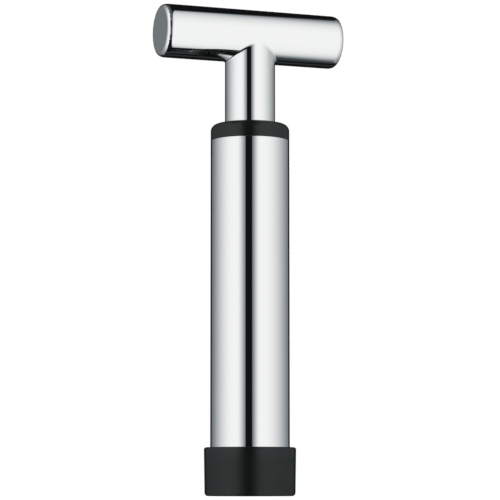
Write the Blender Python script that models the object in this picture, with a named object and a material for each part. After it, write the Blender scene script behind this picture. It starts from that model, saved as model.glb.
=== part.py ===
"""Hand pump that draws the air out of a stoppered wine bottle.

A steel barrel stands in a black foot that fits over the stopper. A T-handled plunger slides and turns
in a bush under the black collar, and the piston on its lower end carries a loose ring as a valve.

Metres, +Z up. The origin is the middle of the foot's underside. The crossbar lies along X, and the
plunger is shown pushed right in.
"""

import math

import bmesh
import bpy

MM = 0.001

# Fits shared by every piece
FIT_GAP = 0.3 * MM  # between pieces that are fastened together or rest on each other
RUNNING_GAP = 0.05 * MM  # round a piece that slides or turns in another
OVERRUN = 2.0 * MM  # how far a cutter runs past the face that it cuts
WELD = 0.001 * MM  # points closer than this are one point

# Walls, counted outwards from the shaft
SHAFT_RADIUS = 9.65 * MM
SHAFT_WALL = 0.8 * MM
BUSH_WALL = 1.0 * MM
SKIRT_WALL = 1.65 * MM
LINER_WALL = 1.5 * MM
SLEEVE_WALL = 0.6 * MM
FOOT_WALL = 2.1 * MM

# Foot
SOCKET_DEPTH = 8.4 * MM
SOCKET_LEDGE = 1.3 * MM  # width of the step that carries the gasket
SOCKET_LEAD = 0.8 * MM
NECK_LENGTH = 2.4 * MM  # stretch that grips the liner's nose
SLEEVE_DEPTH = 3.2 * MM  # how far the sleeve stands in the foot
FOOT_DRAFT = 0.15 * MM  # how far the outside draws in towards the floor
FOOT_TOP_ROUND = 0.9 * MM
FOOT_FLOOR_ROUND = 1.1 * MM

# Rubber under and between the fixed pieces
GASKET_THICKNESS = 2.0 * MM
GASKET_HOLE_RADIUS = 5.0 * MM
GASKET_RIB_RADIUS = 9.0 * MM
GASKET_RIB_WIDTH = 1.2 * MM
GASKET_RIB_HEIGHT = 0.5 * MM
CUSHION_HEIGHT = 1.2 * MM

# Barrel
SLEEVE_SHOWN = 116.85 * MM  # bare steel between the foot and the collar
SLEEVE_EDGE = 0.15 * MM
LINER_FLOOR = 1.8 * MM
LINER_SETBACK = 1.5 * MM  # how far the liner ends below the sleeve's top
LINER_LEAD = 0.4 * MM
PORT_RADIUS = 1.5 * MM

# Snap beads, one at each end of the liner
BEAD_HEIGHT = 0.5 * MM
BEAD_LENGTH = 1.2 * MM
COLLAR_BEAD_DROP = 7.0 * MM  # from the collar's flange down to its bead

# Collar and bush
COLLAR_FLANGE = 6.4 * MM
COLLAR_ROUND = 2.6 * MM
COLLAR_LIP = 1.7 * MM
COLLAR_HOLE_GAP = 0.35 * MM
COLLAR_HOLE_EDGE = 0.3 * MM
SKIRT_LAND = 1.3 * MM  # below the retaining ring's groove
BUSH_LENGTH = 18.6 * MM
BUSH_EDGE = 0.3 * MM
BUSH_VENT_WIDTH = 1.6 * MM
BUSH_VENT_DEPTH = 0.4 * MM
BUSH_VENTS = 4
RETAINER_HEIGHT = 1.0 * MM
RETAINER_BITE = 0.8 * MM  # depth of the groove behind the ring
RETAINER_REACH = 0.7 * MM  # how far the ring stands in under the bush
RETAINER_SPLIT = 6.0 * MM

# Piston, from the chamber's floor upwards
PISTON_FLOOR_GAP = 1.0 * MM  # air left under the piston when the plunger is in
PISTON_AIR_GAP = 0.35 * MM  # round the piston's flanges
PISTON_EDGE = 0.4 * MM
CLAMP_WEB = 1.5 * MM
PISTON_FLANGE = 2.8 * MM
PISTON_NOTCHES = 6
NOTCH_WIDTH = 4.0 * MM
NOTCH_LAND = 0.3 * MM
SPIGOT_LENGTH = 12.0 * MM
SPIGOT_EDGE = 0.6 * MM
VALVE_HEIGHT = 2.4 * MM
VALVE_WIDTH = 2.3 * MM
VALVE_EDGE = 0.5 * MM
VALVE_TRAVEL = 1.2 * MM
VALVE_AIR_GAP = 0.8 * MM  # behind the ring, round the piston's core
BUMPER_HEIGHT = 3.0 * MM
BUMPER_WIDTH = 1.6 * MM

# Tie bolt, which clamps the piston, the shaft and the crossbar
BOLT_RADIUS = 2.0 * MM
BOLT_HEAD_RADIUS = 3.5 * MM
BOLT_HEAD_HEIGHT = 2.8 * MM
BOLT_HEAD_EDGE = 0.3 * MM
BOLT_KEY_RADIUS = 1.7 * MM
BOLT_KEY_DEPTH = 1.6 * MM
WASHER_RADIUS = 4.2 * MM
WASHER_HEIGHT = 0.8 * MM
SEAL_HEIGHT = 1.0 * MM

# Crossbar
CROSSBAR_LENGTH = 72.1 * MM
CROSSBAR_MARGIN = 0.6 * MM  # how much wider in radius it is than the shaft
CROSSBAR_WALL = 1.0 * MM
CROSSBAR_OFFSET = 0.6 * MM  # how far its middle lies to the left of the shaft's axis
FINGER_ROOM = 24.15 * MM  # clear height between the collar and the crossbar
CAP_THICKNESS = 2.5 * MM
CAP_ROUND = 2.0 * MM
CAP_SPIGOT_LENGTH = 6.0 * MM
CAP_SPIGOT_WALL = 1.4 * MM
ANCHOR_LENGTH = 18.0 * MM
ANCHOR_EDGE = 0.5 * MM
THREAD_REACH = 2.5 * MM  # how far the bolt runs past the crossbar's axis

# Facets of the round pieces, and of their rounded edges
FACETS = 48
SMALL_FACETS = 32
HEX_FACETS = 6
ROUND_STEPS = 4
SMOOTH_ANGLE = 35

# Radii that follow from the walls
BUSH_BORE = SHAFT_RADIUS + RUNNING_GAP
BUSH_RADIUS = BUSH_BORE + BUSH_WALL
POCKET_RADIUS = BUSH_RADIUS + RUNNING_GAP
SKIRT_RADIUS = POCKET_RADIUS + SKIRT_WALL
LINER_BORE = SKIRT_RADIUS + FIT_GAP
LINER_RADIUS = LINER_BORE + LINER_WALL
SLEEVE_BORE = LINER_RADIUS + FIT_GAP
BARREL_RADIUS = SLEEVE_BORE + SLEEVE_WALL
FOOT_BORE = BARREL_RADIUS + FIT_GAP
FOOT_RADIUS = FOOT_BORE + FOOT_WALL
NECK_RADIUS = LINER_RADIUS + FIT_GAP
SOCKET_RADIUS = NECK_RADIUS - SOCKET_LEDGE
CROSSBAR_RADIUS = SHAFT_RADIUS + CROSSBAR_MARGIN
CROSSBAR_BORE = CROSSBAR_RADIUS - CROSSBAR_WALL
BOLT_HOLE = BOLT_RADIUS + FIT_GAP
COUNTERBORE_RADIUS = WASHER_RADIUS + FIT_GAP
FLANGE_RADIUS = LINER_BORE - PISTON_AIR_GAP
VALVE_RADIUS = LINER_BORE - RUNNING_GAP
VALVE_BORE = VALVE_RADIUS - VALVE_WIDTH
CORE_RADIUS = VALVE_BORE - VALVE_AIR_GAP

# Heights that follow from the stack, floor to crossbar
GASKET_BOTTOM = SOCKET_DEPTH + FIT_GAP
GASKET_TOP = GASKET_BOTTOM + GASKET_THICKNESS
LINER_BOTTOM = GASKET_TOP + FIT_GAP
CHAMBER_FLOOR = LINER_BOTTOM + LINER_FLOOR
FOOT_STEP = LINER_BOTTOM + NECK_LENGTH
CUSHION_BOTTOM = FOOT_STEP + FIT_GAP
CUSHION_TOP = CUSHION_BOTTOM + CUSHION_HEIGHT
SLEEVE_BOTTOM = CUSHION_TOP + FIT_GAP
FOOT_TOP = SLEEVE_BOTTOM + SLEEVE_DEPTH
SLEEVE_TOP = FOOT_TOP + SLEEVE_SHOWN
LINER_TOP = SLEEVE_TOP - LINER_SETBACK
COLLAR_BOTTOM = SLEEVE_TOP + FIT_GAP
COLLAR_TOP = COLLAR_BOTTOM + COLLAR_FLANGE
POCKET_TOP = COLLAR_TOP - COLLAR_LIP
BUSH_TOP = POCKET_TOP - FIT_GAP
BUSH_BOTTOM = BUSH_TOP - BUSH_LENGTH
RETAINER_TOP = BUSH_BOTTOM - FIT_GAP
RETAINER_BOTTOM = RETAINER_TOP - RETAINER_HEIGHT
GROOVE_BOTTOM = RETAINER_BOTTOM - FIT_GAP
SKIRT_BOTTOM = GROOVE_BOTTOM - SKIRT_LAND
NOSE_BEAD = LINER_BOTTOM + NECK_LENGTH / 2
COLLAR_BEAD = COLLAR_BOTTOM - COLLAR_BEAD_DROP
PISTON_BOTTOM = CHAMBER_FLOOR + PISTON_FLOOR_GAP
BOLT_HEAD_TOP = PISTON_BOTTOM + BOLT_HEAD_HEIGHT
WASHER_BOTTOM = BOLT_HEAD_TOP + FIT_GAP
WASHER_TOP = WASHER_BOTTOM + WASHER_HEIGHT
SEAL_BOTTOM = WASHER_TOP + FIT_GAP
SEAL_TOP = SEAL_BOTTOM + SEAL_HEIGHT
WEB_BOTTOM = SEAL_TOP + FIT_GAP
CLAMP_TOP = WEB_BOTTOM + CLAMP_WEB
CORE_BOTTOM = CLAMP_TOP + FIT_GAP
VALVE_BOTTOM = CLAMP_TOP + RUNNING_GAP
VALVE_TOP = VALVE_BOTTOM + VALVE_HEIGHT
FLANGE_BOTTOM = VALVE_TOP + VALVE_TRAVEL + RUNNING_GAP
FLANGE_TOP = FLANGE_BOTTOM + PISTON_FLANGE
SHAFT_BOTTOM = FLANGE_TOP + FIT_GAP
SPIGOT_TOP = FLANGE_TOP + SPIGOT_LENGTH
CROSSBAR_HEIGHT = COLLAR_TOP + FINGER_ROOM + CROSSBAR_RADIUS
BOLT_TOP = CROSSBAR_HEIGHT + THREAD_REACH

# Half length of the crossbar's tube between its end caps
TUBE_REACH = CROSSBAR_LENGTH / 2 - CAP_THICKNESS - FIT_GAP


def clear_scene():
    """Remove the objects that a new file starts with."""
    for old in list(bpy.data.objects):
        bpy.data.objects.remove(old, do_unlink=True)


def finish(name, colour, metallic, roughness):
    """One material with the piece's colour and gloss."""
    material = bpy.data.materials.new(name)
    material.use_nodes = True
    shader = material.node_tree.nodes["Principled BSDF"]
    shader.inputs["Base Color"].default_value = (*colour, 1.0)
    shader.inputs["Metallic"].default_value = metallic
    shader.inputs["Roughness"].default_value = roughness
    material.diffuse_color = (*colour, 1.0)
    return material


def polished_steel(piece):
    """Mirror-polished stainless steel."""
    return finish(piece + "_steel", (0.80, 0.81, 0.82), 1.0, 0.06)


def plain_steel(piece):
    """Bright zinc-plated steel of the hidden fasteners."""
    return finish(piece + "_zinc", (0.62, 0.63, 0.64), 1.0, 0.35)


def black_plastic(piece):
    """Satin black moulding."""
    return finish(piece + "_black", (0.022, 0.023, 0.025), 0.0, 0.42)


def pale_plastic(piece):
    """Off-white slippery plastic of the liner, bush and piston."""
    return finish(piece + "_acetal", (0.78, 0.78, 0.75), 0.0, 0.45)


def soft_rubber(piece):
    """Dark grey rubber of the seals."""
    return finish(piece + "_rubber", (0.035, 0.035, 0.036), 0.0, 0.75)


def frame_of(name, height, parent=None):
    """An empty on the pump's axis that carries one moving group."""
    empty = bpy.data.objects.new(name, None)
    bpy.context.scene.collection.objects.link(empty)
    empty.parent = parent
    stand_at(empty, height)
    bpy.context.view_layer.update()
    return empty


def stand_at(piece, height):
    """Set a piece's origin at a height above the floor, whatever carries it."""
    carried = piece.parent.matrix_world.translation.z if piece.parent else 0.0
    piece.location.z = height - carried


def place(bm, name, material, parent):
    """Give a bmesh its object, its smooth shading and its parent, with its points kept where they are."""
    bmesh.ops.remove_doubles(bm, verts=bm.verts, dist=WELD)
    bmesh.ops.recalc_face_normals(bm, faces=bm.faces)
    mesh = bpy.data.meshes.new(name)
    bm.to_mesh(mesh)
    bm.free()
    mesh.shade_smooth()
    mesh.set_sharp_from_angle(angle=math.radians(SMOOTH_ANGLE))
    if material is not None:
        mesh.materials.append(material)
    piece = bpy.data.objects.new(name, mesh)
    bpy.context.scene.collection.objects.link(piece)
    piece.parent = parent
    return piece


def arc(centre_radius, centre_height, radius, start, end, steps=ROUND_STEPS):
    """Points of a round edge, from one angle in degrees to another; 0 points outwards and 90 upwards."""
    turns = [math.radians(start + (end - start) * step / steps) for step in range(steps + 1)]
    return [
        (centre_radius + radius * math.cos(turn), centre_height + radius * math.sin(turn))
        for turn in turns
    ]


def turned(name, outline, material, parent, facets=FACETS, base=0.0):
    """Spin a closed outline of (radius, height) points once round Z; base is where height 0 goes."""
    bm = bmesh.new()
    points = [bm.verts.new((radius, 0.0, height)) for radius, height in outline]
    edges = []
    for first, second in zip(points, points[1:] + points[:1]):
        if first.co.x > WELD or second.co.x > WELD:
            edges.append(bm.edges.new((first, second)))
    bmesh.ops.spin(
        bm,
        geom=points + edges,
        cent=(0.0, 0.0, 0.0),
        axis=(0.0, 0.0, 1.0),
        angle=math.tau,
        steps=facets,
        use_merge=True,
    )
    piece = place(bm, name, material, parent)
    stand_at(piece, base)
    return piece


def lay_along_x(piece, centre_x):
    """Turn a piece from the Z axis onto the crossbar's line, with its own +Z along +X."""
    piece.rotation_euler = (0.0, math.pi / 2, 0.0)
    piece.location.x = centre_x


def block(name, low, high, parent, base):
    """A box from one corner to the other, used as a cutter."""
    bm = bmesh.new()
    bmesh.ops.create_cube(bm, size=1.0)
    for vert in bm.verts:
        for axis in range(3):
            share = vert.co[axis] + 0.5
            vert.co[axis] = low[axis] + share * (high[axis] - low[axis])
    piece = place(bm, name, None, parent)
    stand_at(piece, base)
    return piece


def cut(piece, cutter):
    """Take a cutter's shape out of a piece and leave the cutter out of the render."""
    cutter.hide_render = True
    cutter.display_type = "WIRE"
    boolean = piece.modifiers.new(cutter.name, "BOOLEAN")
    boolean.operation = "DIFFERENCE"
    boolean.solver = "EXACT"
    boolean.object = cutter


def bead(radius, height):
    """Points of a snap bead on a wall, from its lower end to its upper end."""
    half = BEAD_LENGTH / 2
    return [(radius, height - half), (radius + BEAD_HEIGHT, height), (radius, height + half)]


def base_foot(parent):
    """Black foot: socket for the stopper below, seat for the liner and the sleeve above."""
    low_radius = FOOT_RADIUS - FOOT_DRAFT
    outline = [(SOCKET_RADIUS + SOCKET_LEAD, 0.0)]
    outline += arc(low_radius - FOOT_FLOOR_ROUND, FOOT_FLOOR_ROUND, FOOT_FLOOR_ROUND, -90, 0)
    outline += arc(FOOT_RADIUS - FOOT_TOP_ROUND, FOOT_TOP - FOOT_TOP_ROUND, FOOT_TOP_ROUND, 0, 90)
    outline += [(FOOT_BORE, FOOT_TOP), (FOOT_BORE, FOOT_STEP), (NECK_RADIUS, FOOT_STEP)]
    outline += reversed(bead(NECK_RADIUS, NOSE_BEAD))
    outline += [(NECK_RADIUS, SOCKET_DEPTH), (SOCKET_RADIUS, SOCKET_DEPTH), (SOCKET_RADIUS, SOCKET_LEAD)]
    return turned("base_foot", outline, black_plastic("base_foot"), parent)


def stopper_gasket(parent):
    """Rubber washer in the roof of the socket, with a rib that seals on the stopper."""
    outer = NECK_RADIUS - FIT_GAP
    rib_out = GASKET_RIB_RADIUS + GASKET_RIB_WIDTH / 2
    rib_in = GASKET_RIB_RADIUS - GASKET_RIB_WIDTH / 2
    outline = [
        (GASKET_HOLE_RADIUS, GASKET_THICKNESS),
        (GASKET_HOLE_RADIUS, 0.0),
        (rib_in, 0.0),
        (GASKET_RIB_RADIUS, -GASKET_RIB_HEIGHT),
        (rib_out, 0.0),
        (outer, 0.0),
        (outer, GASKET_THICKNESS),
    ]
    material = soft_rubber("stopper_gasket")
    return turned("stopper_gasket", outline, material, parent, base=GASKET_BOTTOM)


def sleeve_cushion(parent):
    """Rubber ring under the steel sleeve, which takes up its play."""
    outline = [
        (SLEEVE_BORE, 0.0),
        (BARREL_RADIUS, 0.0),
        (BARREL_RADIUS, CUSHION_HEIGHT),
        (SLEEVE_BORE, CUSHION_HEIGHT),
    ]
    return turned("sleeve_cushion", outline, soft_rubber("sleeve_cushion"), parent, base=CUSHION_BOTTOM)


def barrel_sleeve(parent):
    """Thin polished steel tube that dresses the barrel."""
    length = SLEEVE_TOP - SLEEVE_BOTTOM
    outline = [
        (SLEEVE_BORE, 0.0),
        (BARREL_RADIUS - SLEEVE_EDGE, 0.0),
        (BARREL_RADIUS, SLEEVE_EDGE),
        (BARREL_RADIUS, length - SLEEVE_EDGE),
        (BARREL_RADIUS - SLEEVE_EDGE, length),
        (SLEEVE_BORE, length),
    ]
    return turned("barrel_sleeve", outline, polished_steel("barrel_sleeve"), parent, base=SLEEVE_BOTTOM)


def cylinder_liner(parent):
    """Plastic cylinder that the piston runs in, with the air port in its floor."""
    outline = [(PORT_RADIUS, LINER_BOTTOM), (LINER_RADIUS - LINER_LEAD, LINER_BOTTOM)]
    outline += [(LINER_RADIUS, LINER_BOTTOM + LINER_LEAD)]
    outline += bead(LINER_RADIUS, NOSE_BEAD)
    outline += [(LINER_RADIUS, LINER_TOP), (LINER_BORE + LINER_LEAD, LINER_TOP)]
    outline += [(LINER_BORE, LINER_TOP - LINER_LEAD)]
    outline += reversed(bead(LINER_BORE, COLLAR_BEAD))
    outline += [(LINER_BORE, CHAMBER_FLOOR + LINER_LEAD), (LINER_BORE - LINER_LEAD, CHAMBER_FLOOR)]
    outline += [(PORT_RADIUS, CHAMBER_FLOOR)]
    return turned("cylinder_liner", outline, pale_plastic("cylinder_liner"), parent)


def top_collar(parent):
    """Black collar: a flange on the sleeve, and a skirt in the liner that holds the bush."""
    hole = SHAFT_RADIUS + COLLAR_HOLE_GAP
    groove = POCKET_RADIUS + RETAINER_BITE
    outline = [(SKIRT_RADIUS, COLLAR_BOTTOM), (BARREL_RADIUS, COLLAR_BOTTOM)]
    outline += arc(BARREL_RADIUS - COLLAR_ROUND, COLLAR_TOP - COLLAR_ROUND, COLLAR_ROUND, 0, 90)
    outline += [(hole + COLLAR_HOLE_EDGE, COLLAR_TOP), (hole, COLLAR_TOP - COLLAR_HOLE_EDGE)]
    outline += [(hole, POCKET_TOP), (POCKET_RADIUS, POCKET_TOP), (POCKET_RADIUS, BUSH_BOTTOM)]
    outline += [(groove, BUSH_BOTTOM), (groove, GROOVE_BOTTOM), (POCKET_RADIUS, GROOVE_BOTTOM)]
    outline += [(POCKET_RADIUS, SKIRT_BOTTOM), (SKIRT_RADIUS, SKIRT_BOTTOM)]
    outline += bead(SKIRT_RADIUS, COLLAR_BEAD)
    return turned("top_collar", outline, black_plastic("top_collar"), parent)


def bush_retainer(parent):
    """Split spring ring in the skirt's groove, under the bush."""
    outer = POCKET_RADIUS + RETAINER_BITE - FIT_GAP
    inner = POCKET_RADIUS - RETAINER_REACH
    outline = [(inner, 0.0), (outer, 0.0), (outer, RETAINER_HEIGHT), (inner, RETAINER_HEIGHT)]
    ring = turned("bush_retainer", outline, plain_steel("bush_retainer"), parent, base=RETAINER_BOTTOM)
    low = (0.0, -RETAINER_SPLIT / 2, -OVERRUN)
    high = (outer + OVERRUN, RETAINER_SPLIT / 2, RETAINER_HEIGHT + OVERRUN)
    cut(ring, block("cut_retainer_split", low, high, parent, RETAINER_BOTTOM))
    return ring


def guide_bush(parent):
    """Slippery bush that the shaft slides in, with vents along its bore for the air above the piston."""
    outline = [
        (BUSH_BORE + BUSH_EDGE, 0.0),
        (BUSH_RADIUS - BUSH_EDGE, 0.0),
        (BUSH_RADIUS, BUSH_EDGE),
        (BUSH_RADIUS, BUSH_LENGTH - BUSH_EDGE),
        (BUSH_RADIUS - BUSH_EDGE, BUSH_LENGTH),
        (BUSH_BORE + BUSH_EDGE, BUSH_LENGTH),
        (BUSH_BORE, BUSH_LENGTH - BUSH_EDGE),
        (BUSH_BORE, BUSH_EDGE),
    ]
    bush = turned("guide_bush", outline, pale_plastic("guide_bush"), parent, base=BUSH_BOTTOM)
    for vent in range(BUSH_VENTS):
        low = (0.0, -BUSH_VENT_WIDTH / 2, -OVERRUN)
        high = (BUSH_BORE + BUSH_VENT_DEPTH, BUSH_VENT_WIDTH / 2, BUSH_LENGTH + OVERRUN)
        cutter = block(f"cut_bush_vent_{vent}", low, high, parent, BUSH_BOTTOM)
        cutter.rotation_euler.z = math.tau * vent / BUSH_VENTS
        cut(bush, cutter)
    return bush


def piston_clamp(parent):
    """Lower plate of the piston, which the ring seats on; the bolt's head hides in its underside."""
    height = CLAMP_TOP - PISTON_BOTTOM
    roof = WEB_BOTTOM - PISTON_BOTTOM
    outline = [
        (COUNTERBORE_RADIUS, 0.0),
        (FLANGE_RADIUS - PISTON_EDGE, 0.0),
        (FLANGE_RADIUS, PISTON_EDGE),
        (FLANGE_RADIUS, height),
        (BOLT_HOLE, height),
        (BOLT_HOLE, roof),
        (COUNTERBORE_RADIUS, roof),
    ]
    return turned("piston_clamp", outline, pale_plastic("piston_clamp"), parent, base=PISTON_BOTTOM)


def piston_body(parent):
    """Upper half of the piston: core, notched flange, and the spigot that centres the shaft."""
    flange_low = FLANGE_BOTTOM - CORE_BOTTOM
    flange_high = FLANGE_TOP - CORE_BOTTOM
    top = SPIGOT_TOP - CORE_BOTTOM
    spigot = SHAFT_RADIUS - SHAFT_WALL - FIT_GAP
    outline = [
        (BOLT_HOLE, 0.0),
        (CORE_RADIUS, 0.0),
        (CORE_RADIUS, flange_low),
        (FLANGE_RADIUS, flange_low),
        (FLANGE_RADIUS, flange_high),
        (spigot, flange_high),
        (spigot, top - SPIGOT_EDGE),
        (spigot - SPIGOT_EDGE, top),
        (BOLT_HOLE, top),
    ]
    body = turned("piston_body", outline, pale_plastic("piston_body"), parent, base=CORE_BOTTOM)
    inner = CORE_RADIUS + NOTCH_LAND
    for notch in range(PISTON_NOTCHES):
        low = (inner, -NOTCH_WIDTH / 2, flange_low - VALVE_TRAVEL / 2)
        high = (FLANGE_RADIUS + OVERRUN, NOTCH_WIDTH / 2, flange_high + OVERRUN)
        cutter = block(f"cut_piston_notch_{notch}", low, high, parent, CORE_BOTTOM)
        cutter.rotation_euler.z = math.tau * notch / PISTON_NOTCHES
        cut(body, cutter)
    return body


def valve_ring(parent):
    """Loose rubber ring in the piston's groove; it seals on the way up and lifts to let air by."""
    outline = [
        (VALVE_BORE, 0.0),
        (VALVE_RADIUS - VALVE_EDGE, 0.0),
        (VALVE_RADIUS, VALVE_EDGE),
        (VALVE_RADIUS, VALVE_HEIGHT - VALVE_EDGE),
        (VALVE_RADIUS - VALVE_EDGE, VALVE_HEIGHT),
        (VALVE_BORE, VALVE_HEIGHT),
    ]
    return turned("valve_ring", outline, soft_rubber("valve_ring"), parent, base=VALVE_BOTTOM)


def bumper_ring(parent):
    """Rubber ring round the shaft's foot that meets the collar's skirt when the plunger is drawn out."""
    inner = SHAFT_RADIUS + FIT_GAP
    outer = inner + BUMPER_WIDTH
    outline = [(inner, 0.0), (outer, 0.0), (outer, BUMPER_HEIGHT), (inner, BUMPER_HEIGHT)]
    return turned("bumper_ring", outline, soft_rubber("bumper_ring"), parent, base=SHAFT_BOTTOM)


def washer(name, height, base, material, parent):
    """A flat ring under the bolt's head."""
    outline = [(BOLT_HOLE, 0.0), (WASHER_RADIUS, 0.0), (WASHER_RADIUS, height), (BOLT_HOLE, height)]
    return turned(name, outline, material, parent, facets=SMALL_FACETS, base=base)


def tie_bolt(parent):
    """Long bolt from the piston's underside, up through the shaft, into the crossbar's anchor."""
    length = BOLT_TOP - PISTON_BOTTOM
    outline = [
        (0.0, 0.0),
        (BOLT_HEAD_RADIUS - BOLT_HEAD_EDGE, 0.0),
        (BOLT_HEAD_RADIUS, BOLT_HEAD_EDGE),
        (BOLT_HEAD_RADIUS, BOLT_HEAD_HEIGHT),
        (BOLT_RADIUS, BOLT_HEAD_HEIGHT),
        (BOLT_RADIUS, length - BOLT_HEAD_EDGE),
        (BOLT_RADIUS - BOLT_HEAD_EDGE, length),
        (0.0, length),
    ]
    material = plain_steel("tie_bolt")
    bolt = turned("tie_bolt", outline, material, parent, facets=SMALL_FACETS, base=PISTON_BOTTOM)
    key = [(0.0, -OVERRUN), (BOLT_KEY_RADIUS, -OVERRUN), (BOLT_KEY_RADIUS, BOLT_KEY_DEPTH)]
    key += [(0.0, BOLT_KEY_DEPTH)]
    cut(bolt, turned("cut_bolt_key", key, None, parent, facets=HEX_FACETS, base=PISTON_BOTTOM))
    return bolt


def plunger_shaft(parent):
    """Polished tube between piston and crossbar, its top cut to saddle the crossbar."""
    inner = SHAFT_RADIUS - SHAFT_WALL
    length = CROSSBAR_HEIGHT - SHAFT_BOTTOM
    outline = [(inner, 0.0), (SHAFT_RADIUS, 0.0), (SHAFT_RADIUS, length), (inner, length)]
    shaft = turned("plunger_shaft", outline, polished_steel("plunger_shaft"), parent, base=SHAFT_BOTTOM)
    saddle = CROSSBAR_RADIUS + FIT_GAP
    reach = SHAFT_RADIUS + OVERRUN
    outline = [(0.0, -reach), (saddle, -reach), (saddle, reach), (0.0, reach)]
    cutter = turned("cut_shaft_saddle", outline, None, parent, base=CROSSBAR_HEIGHT)
    lay_along_x(cutter, 0.0)
    cut(shaft, cutter)
    return shaft


def upright_hole(name, piece, low, high, parent):
    """Bore a clearance hole for the tie bolt through a piece that lies along X."""
    outline = [(0.0, low), (BOLT_HOLE, low), (BOLT_HOLE, high), (0.0, high)]
    cut(piece, turned(name, outline, None, parent, facets=SMALL_FACETS, base=CROSSBAR_HEIGHT))


def handle_crossbar(parent):
    """Polished tube of the T-handle, with a hole in its underside for the tie bolt."""
    outline = [
        (CROSSBAR_BORE, -TUBE_REACH),
        (CROSSBAR_RADIUS, -TUBE_REACH),
        (CROSSBAR_RADIUS, TUBE_REACH),
        (CROSSBAR_BORE, TUBE_REACH),
    ]
    bar = turned("handle_crossbar", outline, polished_steel("handle_crossbar"), parent, base=CROSSBAR_HEIGHT)
    lay_along_x(bar, -CROSSBAR_OFFSET)
    upright_hole("cut_crossbar_hole", bar, -CROSSBAR_RADIUS - OVERRUN, 0.0, parent)
    return bar


def crossbar_anchor(parent):
    """Round nut inside the crossbar that the tie bolt screws into."""
    radius = CROSSBAR_BORE - FIT_GAP
    half = ANCHOR_LENGTH / 2
    outline = [
        (0.0, -half),
        (radius - ANCHOR_EDGE, -half),
        (radius, ANCHOR_EDGE - half),
        (radius, half - ANCHOR_EDGE),
        (radius - ANCHOR_EDGE, half),
        (0.0, half),
    ]
    anchor = turned("crossbar_anchor", outline, plain_steel("crossbar_anchor"), parent, base=CROSSBAR_HEIGHT)
    lay_along_x(anchor, 0.0)
    upright_hole("cut_anchor_thread", anchor, -radius - OVERRUN, THREAD_REACH + FIT_GAP, parent)
    return anchor


def crossbar_cap(name, side, parent):
    """Round-edged end of the crossbar, with a hollow spigot pressed into the tube."""
    spigot = CROSSBAR_BORE - FIT_GAP
    hollow = spigot - CAP_SPIGOT_WALL
    outline = [(0.0, 0.0), (hollow, 0.0), (hollow, -CAP_SPIGOT_LENGTH), (spigot, -CAP_SPIGOT_LENGTH)]
    outline += [(spigot, 0.0), (CROSSBAR_RADIUS, 0.0)]
    outline += arc(CROSSBAR_RADIUS - CAP_ROUND, CAP_THICKNESS - CAP_ROUND, CAP_ROUND, 0, 90)
    outline += [(0.0, CAP_THICKNESS)]
    cap = turned(name, outline, polished_steel(name), parent, base=CROSSBAR_HEIGHT)
    lay_along_x(cap, side * (CROSSBAR_LENGTH / 2 - CAP_THICKNESS) - CROSSBAR_OFFSET)
    cap.rotation_euler.y *= side
    return cap


def build():
    """Build the fixed barrel, then the bush, the plunger and its loose ring."""
    clear_scene()
    barrel = frame_of("barrel_frame", 0.0)
    guide = frame_of("guide_frame", BUSH_BOTTOM, barrel)
    plunger = frame_of("plunger_frame", SHAFT_BOTTOM, guide)
    valve = frame_of("valve_frame", VALVE_BOTTOM, plunger)

    base_foot(barrel)
    stopper_gasket(barrel)
    sleeve_cushion(barrel)
    barrel_sleeve(barrel)
    cylinder_liner(barrel)
    top_collar(barrel)
    bush_retainer(barrel)

    guide_bush(guide)

    piston_clamp(plunger)
    piston_body(plunger)
    bumper_ring(plunger)
    plunger_shaft(plunger)
    tie_bolt(plunger)
    washer("tie_washer", WASHER_HEIGHT, WASHER_BOTTOM, plain_steel("tie_washer"), plunger)
    washer("bolt_seal", SEAL_HEIGHT, SEAL_BOTTOM, soft_rubber("bolt_seal"), plunger)
    handle_crossbar(plunger)
    crossbar_anchor(plunger)
    crossbar_cap("crossbar_cap_left", -1, plunger)
    crossbar_cap("crossbar_cap_right", 1, plunger)

    valve_ring(valve)


build()
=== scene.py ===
"""Wine vacuum pump: the fine surfaces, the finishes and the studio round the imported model.

Every length is in metres, in the model's own frame: +Z up, the origin in the middle of the foot's
underside, the crossbar along X. Places come from the boxes of the model's nodes. Only what a box can't
tell, such as a bore or a round edge, is a named size here.
"""

import logging
import math
from collections.abc import Callable, Sequence
from dataclasses import dataclass
from enum import Enum

import bmesh
import bpy
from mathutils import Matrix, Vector


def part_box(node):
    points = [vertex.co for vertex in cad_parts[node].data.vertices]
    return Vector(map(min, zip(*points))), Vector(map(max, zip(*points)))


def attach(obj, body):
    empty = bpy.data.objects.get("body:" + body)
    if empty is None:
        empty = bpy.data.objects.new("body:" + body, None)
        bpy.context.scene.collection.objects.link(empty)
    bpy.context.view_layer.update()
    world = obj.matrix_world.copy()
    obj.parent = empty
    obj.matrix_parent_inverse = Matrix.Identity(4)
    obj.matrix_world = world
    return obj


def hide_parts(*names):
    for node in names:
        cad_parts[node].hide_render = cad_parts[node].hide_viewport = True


MM = 0.001
LOG = logging.getLogger("wine_vacuum_pump")

Outline = list[tuple[float, float]]
Colour = tuple[float, float, float]
Window = tuple[float, float]
Socket = bpy.types.NodeSocket

WHITE: Colour = (1.0, 1.0, 1.0)

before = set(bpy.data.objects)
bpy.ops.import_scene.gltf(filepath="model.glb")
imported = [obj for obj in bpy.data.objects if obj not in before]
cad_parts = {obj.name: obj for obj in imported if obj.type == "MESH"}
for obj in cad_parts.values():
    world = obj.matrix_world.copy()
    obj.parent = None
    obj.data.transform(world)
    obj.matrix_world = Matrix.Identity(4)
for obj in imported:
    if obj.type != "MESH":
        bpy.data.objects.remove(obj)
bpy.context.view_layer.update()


class Body(Enum):
    """The groups of pieces that move together."""

    BARREL = "barrel"
    GUIDE = "guide"
    PLUNGER = "plunger"
    VALVE = "valve_ring"


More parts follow.
